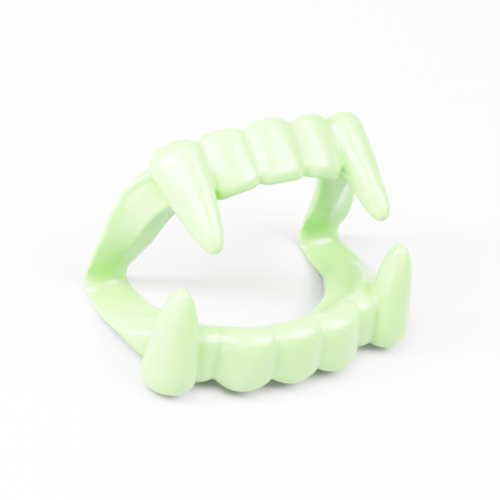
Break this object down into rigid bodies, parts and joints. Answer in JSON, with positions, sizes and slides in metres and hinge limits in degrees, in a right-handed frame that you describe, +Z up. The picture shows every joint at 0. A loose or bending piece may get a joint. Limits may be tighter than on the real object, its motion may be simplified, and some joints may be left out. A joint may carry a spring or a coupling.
{
  "type": "vampire fang denture",
  "caption": "Toy vampire teeth in one soft moulding: an upper and a lower toothed arch with long pointed fangs, joined by folded side straps.",
  "frame": {"origin": "centre of the bounding box's bottom face, on the surface the part stands on", "axes": "+Z up, -Y the front of the mouth, X across the mouth"},
  "size_m": [0.0616, 0.039, 0.0378],
  "materials": {
    "plastic": "gloss, slightly translucent pale green"
  },
  "bodies": {
    "root": {"fang_denture": "plastic"}
  },
  "joints": []
}
